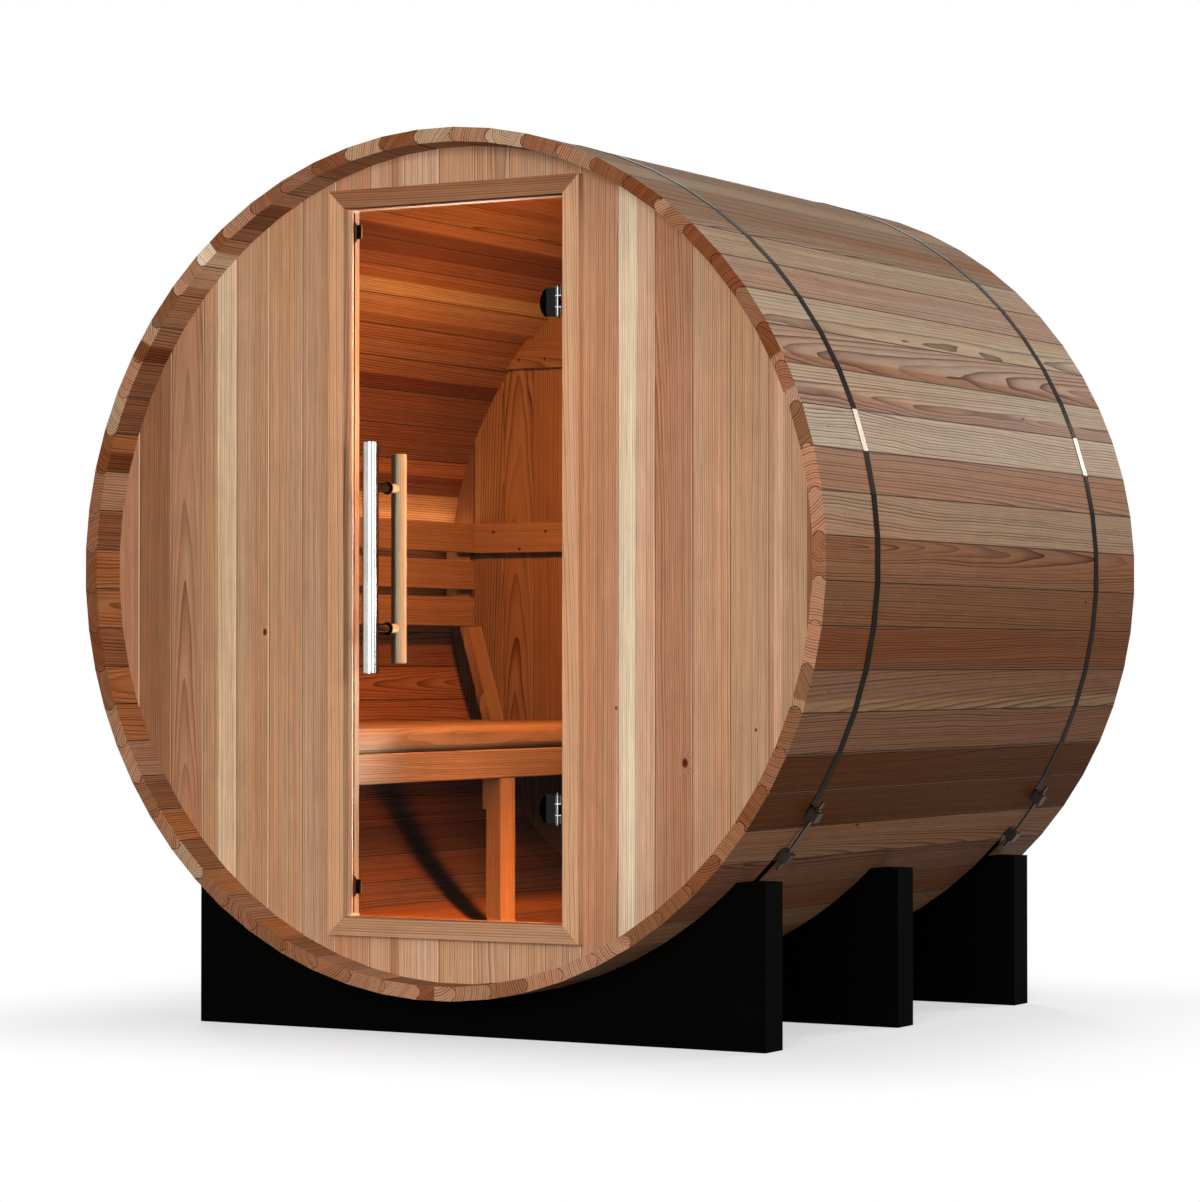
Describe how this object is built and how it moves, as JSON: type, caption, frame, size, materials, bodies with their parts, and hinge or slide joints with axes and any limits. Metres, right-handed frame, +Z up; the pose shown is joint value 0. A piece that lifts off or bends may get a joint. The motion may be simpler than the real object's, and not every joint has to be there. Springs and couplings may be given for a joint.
{
  "type": "barrel sauna",
  "caption": "Barrel sauna: a lying wooden barrel of bead-and-cove staves on black cradles, held by steel hoops, with a recessed front wall, a hinged glass door and a bench inside.",
  "frame": {"origin": "on the ground under the middle of the barrel", "axes": "+Z up, +Y from the door into the cabin along the barrel, +X to the right as seen from outside the door"},
  "size_m": [1.8296, 1.616, 1.9152],
  "materials": {
    "cedar_stave": "planed, unfinished red cedar with varied tones",
    "cedar_board": "planed, unfinished red cedar boards with V joints",
    "cedar_trim": "planed cedar, eased edges",
    "cedar_bench": "sanded cedar with rounded edges",
    "black_timber": "matt black stained timber",
    "steel_band": "dark polished stainless band",
    "zinc_steel": "bright zinc plate",
    "door_glass": "clear toughened glass",
    "black_metal": "satin black with a polished knuckle",
    "chrome": "polished tube",
    "grip_wood": "turned, sanded pale cedar",
    "catch_plastic": "moulded black",
    "warm_light": "diffuser of a warm light strip"
  },
  "bodies": {
    "sauna": {"cradle_front": "black_timber", "cradle_middle": "black_timber", "cradle_back": "black_timber", "staves_top": "cedar_stave", "staves_upper_right": "cedar_stave", "staves_right": "cedar_stave", "staves_lower_right": "cedar_stave", "staves_bottom": "cedar_stave", "staves_lower_left": "cedar_stave", "staves_left": "cedar_stave", "staves_upper_left": "cedar_stave", "front_wall_left": "cedar_board", "front_wall_right": "cedar_board", "front_wall_over_door": "cedar_board", "front_wall_under_door": "cedar_board", "back_wall": "cedar_board", "hoop_front": "steel_band", "hoop_back": "steel_band", "hoop_front_tensioner": "zinc_steel", "hoop_back_tensioner": "zinc_steel", "door_jamb_left": "cedar_trim", "door_jamb_right": "cedar_trim", "door_head": "cedar_trim", "door_sill": "cedar_trim", "door_trim_left": "cedar_trim", "door_trim_right": "cedar_trim", "door_trim_top": "cedar_trim", "door_trim_bottom": "cedar_trim", "hinge_upper_frame_leaf": "black_metal", "hinge_lower_frame_leaf": "black_metal", "door_catch_upper": "catch_plastic", "door_catch_lower": "catch_plastic", "bench_seat": "cedar_bench", "bench_fascia": "cedar_bench", "bench_legs": "cedar_bench", "bench_bearers": "cedar_bench", "backrest_slats": "cedar_bench", "backrest_uprights": "cedar_bench", "backrest_legs": "cedar_bench", "back_wall_batten_upper": "cedar_bench", "back_wall_batten_middle": "cedar_bench", "backrest_light_strip": "warm_light"},
    "door": {"door_glass": "door_glass", "hinge_upper_glass_plate": "black_metal", "hinge_lower_glass_plate": "black_metal", "door_handle_tube": "chrome", "door_handle_grip": "grip_wood"}
  },
  "joints": [
    {"name": "door_hinge", "type": "hinge", "parent": "sauna", "child": "door", "pos_m": [0.25225, -0.728, 1.01645], "axis": [0, 0, 1], "range_deg": [0, 105]}
  ]
}
